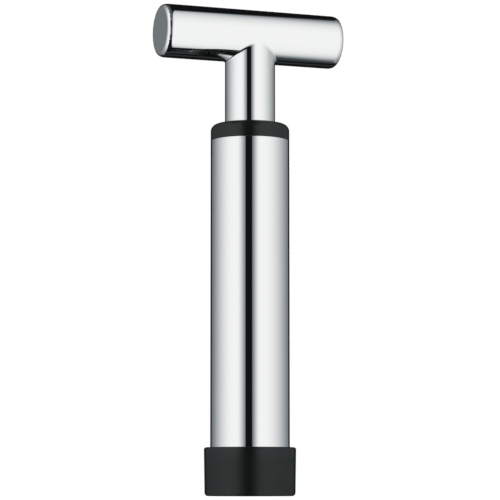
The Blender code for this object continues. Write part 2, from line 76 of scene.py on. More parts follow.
class Slot(Enum):
    """The record's material slots."""

    POLISHED = "polished_steel"
    BLACK = "black_plastic"
    PALE = "pale_plastic"
    RUBBER = "rubber"
    ZINC = "zinc_steel"


class Axis(Enum):
    """The line that a piece is turned about: the barrel's or the crossbar's."""

    UPRIGHT = "Z"
    ACROSS = "X"


class Graph:
    """A node tree, wired by plain calls."""

    def __init__(self, tree: bpy.types.NodeTree) -> None:
        """Take the tree and empty it.

        Args:
            tree: The node tree of a material or of the world.
        """
        self.tree = tree
        tree.nodes.clear()

    def add(self, kind: str, inputs: dict | None = None, **settings: object) -> bpy.types.Node:
        """Add one node.

        Args:
            kind: The node's class name without its ShaderNode prefix.
            inputs: What goes into each named or numbered input: a plain value or another node's output.
            settings: The node's own properties.

        Returns:
            The new node.
        """
        node = self.tree.nodes.new("ShaderNode" + kind)
        for name, value in settings.items():
            setattr(node, name, value)
        for key, value in (inputs or {}).items():
            if isinstance(value, bpy.types.NodeSocket):
                self.tree.links.new(value, node.inputs[key])
            else:
                node.inputs[key].default_value = value
        return node

    def maths(self, operation: str, *values: Socket | float) -> Socket:
        """Work out one value from up to three.

        Args:
            operation: The Math node's operation.
            values: Numbers or sockets, as many as the operation takes.

        Returns:
            The result's socket.
        """
        return self.add("Math", dict(enumerate(values)), operation=operation).outputs[0]

    def ramp(
        self, value: Socket, start: float, end: float, low: float = 0.0, high: float = 1.0
    ) -> Socket:
        """Ease from one value to another while an input goes from start to end.

        Args:
            value: What is read.
            start: Input at which the result is low.
            end: Input at which the result is high.
            low: Result up to start.
            high: Result from end on.

        Returns:
            The eased value's socket.
        """
        limits = {"Value": value, "From Min": start, "From Max": end, "To Min": low, "To Max": high}
        return self.add("MapRange", limits, interpolation_type="SMOOTHSTEP").outputs[0]

    def noise(self, place: Socket, scale: Sequence[float], detail: float = 3.0) -> Socket:
        """Noise with its own fineness along each axis.

        Args:
            place: The coordinates.
            scale: How many bumps a metre it has along X, Y and Z.
            detail: How many finer layers lie on the first.

        Returns:
            The noise's socket, from 0 to 1.
        """
        stretched = self.add("Mapping", {"Vector": place, "Scale": scale}).outputs[0]
        return self.add("TexNoise", {"Vector": stretched, "Scale": 1.0, "Detail": detail}).outputs[0]

    def clouds(self, place: Socket, size: float, detail: float = 3.0) -> Socket:
        """Noise with patches of one size, as wide as they are high."""
        return self.noise(place, [1 / size] * 3, detail)

    def lines(self, place: Socket, width: float, length: float, axis: Axis = Axis.UPRIGHT) -> Socket:
        """Fine lines that run round an axis.

        Args:
            place: The coordinates.
            width: How wide a line is.
            length: How long it runs.
            axis: What it runs round.

        Returns:
            The lines' socket, from 0 to 1.
        """
        fine, coarse = 1 / width, 1 / length
        scale = (fine, coarse, coarse) if axis is Axis.ACROSS else (coarse, coarse, fine)
        return self.noise(place, scale, detail=2.0)

    def blend(self, share: Socket, first: Colour, second: Colour) -> Socket:
        """Mix two colours.

        Args:
            share: How much of the second colour there is.
            first: Colour at 0.
            second: Colour at 1.

        Returns:
            The mixed colour's socket.
        """
        mixed = {0: share, 6: (*first, 1.0), 7: (*second, 1.0)}
        return self.add("Mix", mixed, data_type="RGBA").outputs[2]

    def bump(self, height: Socket, depth: float, strength: float = 1.0) -> Socket:
        """Turn a height into a surface's relief.

        Args:
            height: The height, from 0 to 1.
            depth: What a height of 1 is in metres.
            strength: How much of it shows.

        Returns:
            The normal's socket.
        """
        relief = {"Strength": strength, "Distance": depth, "Height": height}
        return self.add("Bump", relief).outputs[0]


@dataclass(frozen=True)
class Finish:
    """A surface finish, which makes one material and hands it to every piece that wears it."""

    name: str
    slot: Slot

    def material(self) -> bpy.types.Material:
        """Find the finish's material, or make it the first time.

        Returns:
            The material.
        """
        found = bpy.data.materials.get(self.name)
        if found is not None:
            return found
        made = bpy.data.materials.new(self.name)
        made.use_nodes = True
        graph = Graph(made.node_tree)
        shader = graph.add("BsdfPrincipled")
        output = graph.add("OutputMaterial")
        graph.tree.links.new(shader.outputs[0], output.inputs[0])
        place = graph.add("TexCoord").outputs["Object"]
        for name, value in self.surface(graph, place).items():
            if isinstance(value, bpy.types.NodeSocket):
                graph.tree.links.new(value, shader.inputs[name])
            else:
                shader.inputs[name].default_value = value
        return made

    def surface(self, graph: Graph, place: Socket) -> dict[str, object]:
        """Work out the shader's inputs by name; each finish has its own way."""
        raise NotImplementedError

    def dress(self, piece: bpy.types.Object) -> None:
        """Put the finish on a piece in place of what it wears.

        Args:
            piece: A mesh object.
        """
        piece.data.materials.clear()
        piece.data.materials.append(self.material())


@dataclass(frozen=True)
class PolishedSteel(Finish):
    """Mirror-polished stainless steel, with the last fine strokes of the wheel running round it."""

    axis: Axis = Axis.UPRIGHT
    colour: Colour = (0.905, 0.91, 0.91)
    roughness: float = 0.02
    haze: float = 0.015
    haze_window: Window = (0.1, 0.5)
    stroke: float = 0.25 * MM
    stroke_length: float = 9.0 * MM
    stroke_depth: float = 0.00001 * MM
    smear: float = 14.0 * MM

    def surface(self, graph: Graph, place: Socket) -> dict[str, object]:
        """Give the strokes a relief, and broad smears with the strokes in them a haze.

        Args:
            graph: The material's graph.
            place: The piece's own coordinates.

        Returns:
            The shader's inputs by name.
        """
        strokes = graph.lines(place, self.stroke, self.stroke_length, self.axis)
        marked = graph.maths("MULTIPLY", strokes, graph.clouds(place, self.smear))
        gloss = graph.ramp(marked, *self.haze_window, self.roughness, self.roughness + self.haze)
        return {
            "Base Color": (*self.colour, 1.0),
            "Metallic": 1.0,
            "Roughness": gloss,
            "Normal": graph.bump(strokes, self.stroke_depth),
        }


@dataclass(frozen=True)
class BlackPlastic(Finish):
    """Satin black moulding with fine streaks round it, rubbed at its top, scuffed where it stands."""

    colour: Colour = (0.0046, 0.005, 0.0042)
    scuffed: Colour = (0.016, 0.016, 0.016)
    sheen: Colour = (0.93, 1.0, 1.03)
    refraction: float = 1.5
    roughness: float = 0.47
    unevenness: float = 0.04
    stretch: float = 0.886
    quarter_turn: float = 0.25
    rubbed: float = 0.12
    rub_from: float = 13.0 * MM
    rub_to: float = 18.0 * MM
    streak: float = 0.3 * MM
    streak_length: float = 12.0 * MM
    streak_depth: float = 0.002 * MM
    streak_strength: float = 0.5
    cloud: float = 7.0 * MM
    cloud_window: Window = (0.3, 0.7)
    scuff: float = 0.6 * MM
    scuff_detail: float = 5.0
    scuff_height: float = 0.9 * MM
    scuff_window: Window = (0.45, 0.7)
    scuff_dulling: float = 0.2

    def surface(self, graph: Graph, place: Socket) -> dict[str, object]:
        """Give the streaks a relief and draw the gloss out upwards.

        Clouds vary the gloss, hands have rubbed the upper part glossier, and scuffs pale the foot.

        Args:
            graph: The material's graph.
            place: The piece's own coordinates.

        Returns:
            The shader's inputs by name.
        """
        streaks = graph.lines(place, self.streak, self.streak_length)
        clouds = graph.clouds(place, self.cloud)
        height = graph.add("SeparateXYZ", {0: place}).outputs["Z"]
        low = graph.ramp(height, 0.0, self.scuff_height, 1.0, 0.0)
        scratches = graph.clouds(place, self.scuff, self.scuff_detail)
        scuffs = graph.maths("MULTIPLY", low, graph.ramp(scratches, *self.scuff_window))
        gloss = graph.ramp(clouds, *self.cloud_window, self.roughness, self.roughness + self.unevenness)
        rub = graph.ramp(height, self.rub_from, self.rub_to, 0.0, self.rubbed)
        gloss = graph.maths("SUBTRACT", gloss, rub)
        return {
            "Base Color": graph.blend(scuffs, self.colour, self.scuffed),
            "Roughness": graph.maths("ADD", gloss, graph.maths("MULTIPLY", scuffs, self.scuff_dulling)),
            "Normal": graph.bump(streaks, self.streak_depth, self.streak_strength),
            "IOR": self.refraction,
            "Specular Tint": (*self.sheen, 1.0),
            "Anisotropic": self.stretch,
            "Anisotropic Rotation": self.quarter_turn,
        }


@dataclass(frozen=True)
class SoftRubber(Finish):
    """Dull dark rubber with a pale bloom in patches."""

    colour: Colour = (0.016, 0.016, 0.017)
    bloom: Colour = (0.045, 0.045, 0.044)
    roughness: float = 0.72
    bloom_roughness: float = 0.9
    grain: float = 0.3 * MM
    grain_depth: float = 0.02 * MM
    grain_strength: float = 0.5
    patch: float = 4.0 * MM
    patch_window: Window = (0.42, 0.72)

    def surface(self, graph: Graph, place: Socket) -> dict[str, object]:
        """Lay patches of bloom, paler and duller than the rest, over a fine grain.

        Args:
            graph: The material's graph.
            place: The piece's own coordinates.

        Returns:
            The shader's inputs by name.
        """
        patches = graph.ramp(graph.clouds(place, self.patch), *self.patch_window)
        grain = graph.clouds(place, self.grain)
        return {
            "Base Color": graph.blend(patches, self.colour, self.bloom),
            "Roughness": graph.ramp(patches, 0.0, 1.0, self.roughness, self.bloom_roughness),
            "Normal": graph.bump(grain, self.grain_depth, self.grain_strength),
        }


@dataclass(frozen=True)
class Ringed(Finish):
    """Two tones in patches, and fine rings that run round the piece."""

    tones: tuple[Colour, Colour]
    roughness: float
    unevenness: float
    ring: float
    ring_depth: float = 0.003 * MM
    ring_strength: float = 0.5
    ring_window: Window = (0.3, 0.7)
    patch: float = 5.0 * MM
    patch_window: Window = (0.35, 0.65)
    metal: float = 0.0

    def surface(self, graph: Graph, place: Socket) -> dict[str, object]:
        """Mix the tones in patches, and let the rings give the relief and some of the gloss.

        Args:
            graph: The material's graph.
            place: The piece's own coordinates.

        Returns:
            The shader's inputs by name.
        """
        patches = graph.ramp(graph.clouds(place, self.patch), *self.patch_window)
        rings = graph.lines(place, self.ring, self.patch)
        gloss = graph.ramp(rings, *self.ring_window, self.roughness, self.roughness + self.unevenness)
        return {
            "Base Color": graph.blend(patches, *self.tones),
            "Metallic": self.metal,
            "Roughness": gloss,
            "Normal": graph.bump(rings, self.ring_depth, self.ring_strength),
        }


@dataclass(frozen=True)
class PalePlastic(Ringed):
    """Off-white slippery plastic, with the faint rings that a mould or a lathe leaves."""

    tones: tuple[Colour, Colour] = ((0.76, 0.76, 0.72), (0.68, 0.675, 0.63))
    roughness: float = 0.38
    unevenness: float = 0.12
    ring: float = 0.35 * MM
    ring_strength: float = 0.6
    patch: float = 6.0 * MM
    patch_window: Window = (0.35, 0.75)


@dataclass(frozen=True)
class ZincSteel(Ringed):
    """Bright zinc on turned steel: fine rings, and a straw and blue cast in patches."""

    tones: tuple[Colour, Colour] = ((0.66, 0.63, 0.54), (0.56, 0.61, 0.66))
    roughness: float = 0.26
    unevenness: float = 0.15
    ring: float = 0.2 * MM
    ring_depth: float = 0.004 * MM
    metal: float = 1.0


STEEL_UPRIGHT = PolishedSteel("steel_polished_upright", Slot.POLISHED)
STEEL_ACROSS = PolishedSteel("steel_polished_across", Slot.POLISHED, axis=Axis.ACROSS)
BLACK = BlackPlastic("plastic_black_satin", Slot.BLACK)
PALE = PalePlastic("plastic_pale_slippery", Slot.PALE)
RUBBER = SoftRubber("rubber_dark", Slot.RUBBER)
ZINC = ZincSteel("steel_zinc_plated", Slot.ZINC)


def new_piece(bm: bmesh.types.BMesh, name: str) -> bpy.types.Object:
    """Make a finished mesh an object of the scene.

    Args:
        bm: The mesh, which is freed.
        name: The object's name.

    Returns:
        The new object.
    """
    mesh = bpy.data.meshes.new(name)
    bm.to_mesh(mesh)
    bm.free()
    piece = bpy.data.objects.new(name, mesh)
    bpy.context.scene.collection.objects.link(piece)
    return piece


@dataclass(frozen=True)
class Corner:
    """One corner of a turned outline.

    Attributes:
        radius: Distance from the axis.
        height: Place along the axis.
        round: Radius of the corner's rounding; 0 leaves it sharp.
    """

    radius: float
    height: float
    round: float = 0.0


@dataclass(frozen=True)
class Turning:
    """How finely turned pieces are cut up.

    Attributes:
        segments: Flats round the axis.
        steps: Flats along each rounded corner.
        support: How far beyond a rounding one more ring keeps the straight stretch straight.
        smooth_angle: Edges sharper than this stay sharp, in degrees.
    """

    segments: int = 192
    steps: int = 10
    support: float = 0.06 * MM
    smooth_angle: float = 32.0

    def outline(self, corners: Sequence[Corner]) -> Outline:
        """Round the corners of a closed outline.

        Args:
            corners: The outline's corners, in order.

        Returns:
            Its points as (radius, height).
        """
        spots = [Vector((corner.radius, corner.height)) for corner in corners]
        afters = spots[1:] + spots[:1]
        reaches = []
        for index, (corner, spot, after) in enumerate(zip(corners, spots, afters)):
            opening = (spots[index - 1] - spot).angle(after - spot) if corner.round > 0.0 else math.pi
            reaches.append(corner.round / math.tan(opening / 2))
        points: Outline = []
        for index, (corner, spot, after) in enumerate(zip(corners, spots, afters)):
            back, ahead = spots[index - 1] - spot, after - spot
            reach, beyond = reaches[index], reaches[(index + 1) % len(corners)]
            if corner.round > 0.0:
                room = back.length - reach - reaches[index - 1] > 2 * self.support
                points += self.support_point(spot, back, reach) if room else []
                points += self.fillet(spot, back, ahead, corner.round)
                room = ahead.length - reach - beyond > 2 * self.support
                points += self.support_point(spot, ahead, reach) if room else []
            else:
                points.append((spot.x, spot.y))
        return points

    def support_point(self, spot: Vector, way: Vector, reach: float) -> Outline:
        """The point just beyond a rounding that keeps the straight stretch straight."""
        point = spot + way.normalized() * (reach + self.support)
        return [(point.x, point.y)]

    def fillet(self, here: Vector, back: Vector, ahead: Vector, size: float) -> Outline:
        """Lay an arc into one corner.

        Args:
            here: The sharp corner.
            back: The way to the corner before.
            ahead: The way to the corner after.
            size: The arc's radius.

        Returns:
            The arc's points.
        """
        half = back.angle(ahead) / 2
        reach = size / math.tan(half)
        to_back, to_ahead = back.normalized(), ahead.normalized()
        centre = here + (to_back + to_ahead).normalized() * (size / math.sin(half))
        first = here + to_back * reach - centre
        last = here + to_ahead * reach - centre
        start = math.atan2(first.y, first.x)
        sweep = math.remainder(math.atan2(last.y, last.x) - start, math.tau)
        turns = [start + sweep * step / self.steps for step in range(self.steps + 1)]
        return [(centre.x + size * math.cos(turn), centre.y + size * math.sin(turn)) for turn in turns]

    def turn(
        self,
        name: str,
        corners: Sequence[Corner],
        axis: Axis = Axis.UPRIGHT,
        centre: float = 0.0,
        side: int = 1,
    ) -> bpy.types.Object:
        """Turn a closed outline once round an axis.

        Args:
            name: The new object's name.
            corners: The outline's corners, the outside passed upwards; those on the axis have radius 0.
            axis: The line that it turns about.
            centre: How high the axis lies, for a piece that lies across.
            side: -1 to point a piece that lies across the other way.

        Returns:
            The new mesh object.
        """
        outline = self.outline(corners)
        return self.sweep(name, lambda turn: outline, axis, centre, side)

    def sweep(
        self, name: str, outline_at: Callable[[float], Outline], axis: Axis, centre: float, side: int
    ) -> bpy.types.Object:
        """Sweep an outline once round an axis while its points move with the angle.

        Args:
            name: The new object's name.
            outline_at: Gives the outline at an angle in radians, always with as many points.
            axis: The line that it goes round.
            centre: How high the axis lies, for a piece that lies across.
            side: -1 to point a piece that lies across the other way.

        Returns:
            The new mesh object.
        """
        bm = bmesh.new()
        turns = [math.tau * index / self.segments for index in range(self.segments)]
        columns = [(turn, outline_at(turn)) for turn in turns]
        rings = [self.ring(bm, columns, index) for index in range(len(columns[0][1]))]
        for low, high in zip(rings, rings[1:] + rings[:1]):
            self.bridge(bm, low, high)
        if axis is Axis.ACROSS:
            for vert in bm.verts:
                vert.co = Vector((vert.co.z * side, vert.co.x, vert.co.y + centre))
        bmesh.ops.recalc_face_normals(bm, faces=bm.faces)
        piece = new_piece(bm, name)
        piece.data.shade_smooth()
        piece.data.set_sharp_from_angle(angle=math.radians(self.smooth_angle))
        return piece

    def ring(self, bm: bmesh.types.BMesh, columns: Sequence, index: int) -> list[bmesh.types.BMVert]:
        """Place one ring of points, or the one point that a ring on the axis shrinks to.

        Args:
            bm: The mesh that is being made.
            columns: The angles with their outlines.
            index: Which point of the outlines it is.

        Returns:
            The new points.
        """
        radius, height = columns[0][1][index]
        if radius <= 0.0:
            return [bm.verts.new((0.0, 0.0, height))]
        ring = []
        for turn, outline in columns:
            radius, height = outline[index]
            ring.append(bm.verts.new((radius * math.cos(turn), radius * math.sin(turn), height)))
        return ring

    def bridge(self, bm: bmesh.types.BMesh, low: list, high: list) -> None:
        """Join two rings with faces; two points on the axis need none.

        Args:
            bm: The mesh that is being made.
            low: One ring's points.
            high: The next ring's points.
        """
        if len(low) == 1 and len(high) == 1:
            return
        for index in range(self.segments):
            after = (index + 1) % self.segments
            loop = [low[index % len(low)], low[after % len(low)]]
            loop += [high[after % len(high)], high[index % len(high)]]
            bm.faces.new(list(dict.fromkeys(loop)))


FINE = Turning()
PLAIN = Turning(segments=128, steps=5)


def span(node: str) -> tuple[float, float]:
    """Lowest and highest point of a node."""
    low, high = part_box(node)
    return low.z, high.z


def girth(node: str) -> float:
    """Outer radius of a node that is turned about the barrel's axis."""
    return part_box(node)[1].y


class Assembly:
    """A sub-assembly: it builds its own meshes and dresses the nodes that it keeps."""

    body: Body

    def put(self, piece: bpy.types.Object, finish: Finish, *nodes: str) -> None:
        """Mount a new piece in place of its nodes.

        Args:
            piece: The new mesh object.
            finish: What it wears.
            nodes: The nodes that it stands for.
        """
        finish.dress(piece)
        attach(piece, self.body.value)
        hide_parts(*nodes)
        LOG.info("%s rides on %s and stands for %s", piece.name, self.body.value, ", ".join(nodes))

    def keep(self, finish: Finish, *nodes: str) -> None:
        """Dress nodes whose own shape is right.

        Args:
            finish: What they wear.
            nodes: Their names.
        """
        for node in nodes:
            finish.dress(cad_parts[node])
            LOG.info("%s keeps its shape and wears %s", node, finish.name)

    def build(self) -> None:
        """Build and dress every piece of the sub-assembly."""
        raise NotImplementedError


@dataclass(frozen=True)
class Snap:
    """The small bead that one moulding clicks into another with."""

    rise: float = 0.5 * MM
    length: float = 1.2 * MM

    def groove(self, radius: float, height: float, downwards: bool = False) -> list[Corner]:
        """Corners that a bead or its groove adds to a wall.

        Args:
            radius: The wall's radius.
            height: The middle of the bead.
            downwards: True where the outline passes the wall from the top down.

        Returns:
            The three corners.
        """
        corners = [
            Corner(radius, height - self.length / 2),
            Corner(radius + self.rise, height),
            Corner(radius, height + self.length / 2),
        ]
        return corners[::-1] if downwards else corners


@dataclass
class Foot(Assembly):
    """Black foot over the bottle stopper, with the rubber washer in its roof."""

    body: Body = Body.BARREL
    draft: float = 0.28 * MM
    top_round: float = 0.9 * MM
    floor_round: float = 1.3 * MM
    socket_radius: float = 13.2 * MM
    socket_depth: float = 8.4 * MM
    socket_lead: float = 0.8 * MM
    neck_radius: float = 14.5 * MM
    step_height: float = 13.4 * MM
    bead_height: float = 12.2 * MM
    snap: Snap = Snap()
    sleeve_play: float = 0.03 * MM
    inner_round: float = 0.3 * MM
    gasket_gap: float = 0.3 * MM
    gasket_hole: float = 5.0 * MM
    gasket_edge: float = 0.35 * MM
    rib_radius: float = 9.0 * MM
    rib_width: float = 1.2 * MM
    rib_tip: float = 0.25 * MM

    def build(self) -> None:
        """Build the moulding and the washer, and dress the ring under the sleeve."""
        self.put(self.moulding(), BLACK, "base_foot")
        self.put(self.washer(), RUBBER, "stopper_gasket")
        self.keep(RUBBER, "sleeve_cushion")

    def moulding(self) -> bpy.types.Object:
        """Make the foot: a drafted outside, the socket below and the sleeve's seat above.

        Returns:
            The new mesh object.
        """
        radius = girth("base_foot")
        low, high = span("base_foot")
        bore = girth("barrel_sleeve") + self.sleeve_play
        socket = self.socket_radius
        return FINE.turn(
            "foot_moulding",
            [
                Corner(socket + self.socket_lead, low, self.inner_round),
                Corner(radius - self.draft, low, self.floor_round),
                Corner(radius, high, self.top_round),
                Corner(bore, high),
                Corner(bore, self.step_height),
                Corner(self.neck_radius, self.step_height),
                *self.snap.groove(self.neck_radius, self.bead_height, downwards=True),
                Corner(self.neck_radius, self.socket_depth),
                Corner(socket, self.socket_depth, self.inner_round),
                Corner(socket, low + self.socket_lead, self.inner_round),
            ],
        )

    def washer(self) -> bpy.types.Object:
        """Make the washer, with its sealing rib round the air hole.

        Returns:
            The new mesh object.
        """
        rib, top = span("stopper_gasket")
        face = self.socket_depth + self.gasket_gap
        outer = girth("stopper_gasket")
        return PLAIN.turn(
            "gasket_washer",
            [
                Corner(self.gasket_hole, face, self.gasket_edge),
                Corner(self.rib_radius - self.rib_width / 2, face, self.rib_tip),
                Corner(self.rib_radius, rib, self.rib_tip),
                Corner(self.rib_radius + self.rib_width / 2, face, self.rib_tip),
                Corner(outer, face),
                Corner(outer, top),
                Corner(self.gasket_hole, top, self.gasket_edge),
            ],
        )


@dataclass
class Barrel(Assembly):
    """Polished sleeve over the plastic cylinder, closed by the black collar."""

    body: Body = Body.BARREL
    sleeve_wall: float = 0.6 * MM
    sleeve_edge: float = 0.12 * MM
    joint: float = 0.02 * MM
    collar_round: float = 2.6 * MM
    collar_hole: float = 10.0 * MM
    hole_edge: float = 0.3 * MM
    lip: float = 1.7 * MM
    skirt_radius: float = 12.4 * MM
    pocket_radius: float = 10.75 * MM
    bead_drop: float = 7.0 * MM
    clearance: float = 0.3 * MM
    snap: Snap = Snap()

    def build(self) -> None:
        """Build the sleeve and the collar, and dress the cylinder and the retaining ring."""
        self.put(self.sleeve(), STEEL_UPRIGHT, "barrel_sleeve")
        self.put(self.collar(), BLACK, "top_collar")
        self.keep(PALE, "cylinder_liner")
        self.keep(ZINC, "bush_retainer")

    def sleeve(self) -> bpy.types.Object:
        """Make the steel tube, closed up to the collar.

        Returns:
            The new mesh object.
        """
        radius = girth("barrel_sleeve")
        bottom = span("barrel_sleeve")[0]
        top = self.flange_bottom() - self.joint
        bore = radius - self.sleeve_wall
        return FINE.turn(
            "sleeve_tube",
            [
                Corner(bore, bottom),
                Corner(radius, bottom, self.sleeve_edge),
                Corner(radius, top, self.sleeve_edge),
                Corner(bore, top),
            ],
        )

    def flange_bottom(self) -> float:
        """Height of the collar's lower face, just above the sleeve."""
        return span("barrel_sleeve")[1] + self.clearance

    def collar(self) -> bpy.types.Object:
        """Make the collar: a round-shouldered flange, and the skirt inside the cylinder.

        Returns:
            The new mesh object.
        """
        radius = girth("top_collar")
        skirt_bottom, top = span("top_collar")
        bottom = self.flange_bottom()
        groove_bottom = span("bush_retainer")[0] - self.clearance
        groove_top = span("guide_bush")[0]
        groove = girth("bush_retainer") + self.clearance
        return FINE.turn(
            "collar_moulding",
            [
                Corner(self.skirt_radius, skirt_bottom),
                *self.snap.groove(self.skirt_radius, bottom - self.bead_drop),
                Corner(self.skirt_radius, bottom),
                Corner(radius, bottom, self.sleeve_edge),
                Corner(radius, top, self.collar_round),
                Corner(self.collar_hole, top, self.hole_edge),
                Corner(self.collar_hole, top - self.lip),
                Corner(self.pocket_radius, top - self.lip),
                Corner(self.pocket_radius, groove_top),
                Corner(groove, groove_top),
                Corner(groove, groove_bottom),
                Corner(self.pocket_radius, groove_bottom),
                Corner(self.pocket_radius, skirt_bottom),
            ],
        )


@dataclass
class Guide(Assembly):
    """Bush that the shaft slides and turns in."""

    body: Body = Body.GUIDE

    def build(self) -> None:
        """Dress the bush."""
        self.keep(PALE, "guide_bush")


@dataclass
class Handle(Assembly):
    """Polished T-handle: the crossbar with its buffed ends, and the shaft welded to its underside.

    Attributes:
        crown: How far the first, long curve of an end turns in, in degrees.
        bend: How far the second has turned in where the edge's own rounding takes over, in degrees.
        weld_side: How far the weld reaches up and out at the shaft's sides.
        weld_front: How far it reaches at the shaft's front and back.
        sink: How deep the shaft's top lies in the crossbar, to close the joint.
    """

    body: Body = Body.PLUNGER
    shaft_wall: float = 0.8 * MM
    shaft_edge: float = 0.2 * MM
    bar_wall: float = 1.0 * MM
    cap_thickness: float = 3.5 * MM
    cap_round: float = 1.6 * MM
    crown: float = 4.0
    crown_round: float = 12.0 * MM
    bend: float = 22.0
    bend_round: float = 3.8 * MM
    spigot_length: float = 5.0 * MM
    spigot_play: float = 0.3 * MM
    spigot_wall: float = 1.4 * MM
    weld_side: float = 0.8 * MM
    weld_front: float = 0.95 * MM
    weld_steps: int = 12
    sink: float = 0.02 * MM

    def build(self) -> None:
        """Build the crossbar, its two ends and the shaft, and dress the nut inside."""
        self.put(self.tube(), STEEL_ACROSS, "handle_crossbar")
        self.put(self.cap("cap_left", "crossbar_cap_left", -1), STEEL_ACROSS, "crossbar_cap_left")
        self.put(self.cap("cap_right", "crossbar_cap_right", 1), STEEL_ACROSS, "crossbar_cap_right")
        self.put(self.shaft(), STEEL_UPRIGHT, "plunger_shaft")
        self.keep(ZINC, "crossbar_anchor")

    def bar_radius(self) -> float:
        """Outer radius of the crossbar."""
        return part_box("handle_crossbar")[1].y

    def bar_height(self) -> float:
        """Height of the crossbar's axis."""
        low, high = span("handle_crossbar")
        return (low + high) / 2

    def tube(self) -> bpy.types.Object:
        """Make the crossbar's tube, closed up to its ends.

        Returns:
            The new mesh object.
        """
        radius = self.bar_radius()
        bore = radius - self.bar_wall
        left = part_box("crossbar_cap_left")[0].x + self.cap_thickness
        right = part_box("crossbar_cap_right")[1].x - self.cap_thickness
        corners = [Corner(bore, left), Corner(radius, left), Corner(radius, right), Corner(bore, right)]
        return FINE.turn("crossbar_tube", corners, Axis.ACROSS, self.bar_height())

    def cap(self, name: str, node: str, side: int) -> bpy.types.Object:
        """Make one end of the crossbar, buffed round in three steps, with its hollow spigot.

        Args:
            name: The piece's name.
            node: The node that it stands for.
            side: -1 for the left end, 1 for the right one.

        Returns:
            The new mesh object.
        """
        low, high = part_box(node)
        end = max(-low.x, high.x)
        start = end - self.cap_thickness
        radius = self.bar_radius()
        spigot = radius - self.bar_wall - self.spigot_play
        hollow = spigot - self.spigot_wall
        crown, bend = math.radians(self.crown), math.radians(self.bend)
        middle = self.bend_round * math.tan((bend - crown) / 2)
        inner = self.crown_round * math.tan(crown / 2) + middle
        outer = middle + self.cap_round * math.tan((math.pi / 2 - bend) / 2)
        turned = end - outer * math.cos(bend)
        shoulder = radius - inner * math.sin(crown)
        corners = [
            Corner(0.0, start),
            Corner(hollow, start),
            Corner(hollow, start - self.spigot_length),
            Corner(spigot, start - self.spigot_length),
            Corner(spigot, start),
            Corner(radius, start),
            Corner(radius, turned - inner * math.cos(crown), self.crown_round),
            Corner(shoulder, turned, self.bend_round),
            Corner(shoulder - outer * math.sin(bend), end, self.cap_round),
            Corner(0.0, end),
        ]
        return FINE.turn(name, corners, Axis.ACROSS, self.bar_height(), side)

    def shaft(self) -> bpy.types.Object:
        """Make the shaft, with a small weld at its top that follows the crossbar's underside.

        Returns:
            The new mesh object.
        """
        radius = girth("plunger_shaft")
        bore = radius - self.shaft_wall
        bottom, top = span("plunger_shaft")
        corners = [Corner(bore, bottom), Corner(radius, bottom, self.shaft_edge), Corner(radius, top)]
        foot = FINE.outline(corners)[:-1]

        def outline_at(turn: float) -> Outline:
            """The shaft's wall at one angle, from its foot up the outside and down the bore."""
            return foot + self.weld(radius, turn) + [(bore, self.underside(bore, turn))]

        return FINE.sweep("shaft_tube", outline_at, Axis.UPRIGHT, 0.0, 1)

    def underside(self, radius: float, turn: float) -> float:
        """Height of the crossbar's underside over a point, sunk in a little to close the joint.

        Args:
            radius: The point's distance from the shaft's axis.
            turn: Its angle round the shaft.

        Returns:
            The height.
        """
        reach = self.bar_radius() - self.sink
        return self.bar_height() - math.sqrt(max(reach**2 - (radius * math.sin(turn)) ** 2, 0.0))

    def weld(self, radius: float, turn: float) -> Outline:
        """Curve from the shaft's side into the crossbar's underside, longest at the front and the back.

        Args:
            radius: The shaft's radius.
            turn: The angle round the shaft.

        Returns:
            The curve's points, upwards.
        """
        share = math.sin(turn) ** 2
        reach = self.weld_side + (self.weld_front - self.weld_side) * share
        corner = Vector((radius, self.underside(radius, turn)))
        start = corner - Vector((0.0, reach))
        end = corner.copy()
        way = self.along_bar(end, share)
        for _ in range(self.weld_steps):
            end += way * (reach / self.weld_steps)
            way = self.along_bar(end, share)
        bend = Vector((radius, end.y - way.y / way.x * (end.x - radius)))
        points = []
        for step in range(self.weld_steps + 1):
            part = step / self.weld_steps
            point = start.lerp(bend, part).lerp(bend.lerp(end, part), part)
            points.append((point.x, point.y))
        return points

    def along_bar(self, spot: Vector, share: float) -> Vector:
        """Way out along the crossbar's underside from a point on it.

        Args:
            spot: The point, as its distance from the shaft's axis and its height.
            share: How much the bar curves away there: 0 along the bar, 1 across it.

        Returns:
            The unit vector of that way.
        """
        return Vector((self.bar_height() - spot.y, spot.x * share)).normalized()


@dataclass
class Piston(Assembly):
    """Piston at the shaft's foot, with the long bolt that clamps it all to the crossbar."""

    body: Body = Body.PLUNGER

    def build(self) -> None:
        """Dress the piston's pieces and its fasteners."""
        self.keep(PALE, "piston_clamp", "piston_body")
        self.keep(RUBBER, "bumper_ring", "bolt_seal")
        self.keep(ZINC, "tie_bolt", "tie_washer")


@dataclass
class Valve(Assembly):
    """Loose rubber ring in the piston's groove."""

    body: Body = Body.VALVE

    def build(self) -> None:
        """Dress the ring."""
        self.keep(RUBBER, "valve_ring")


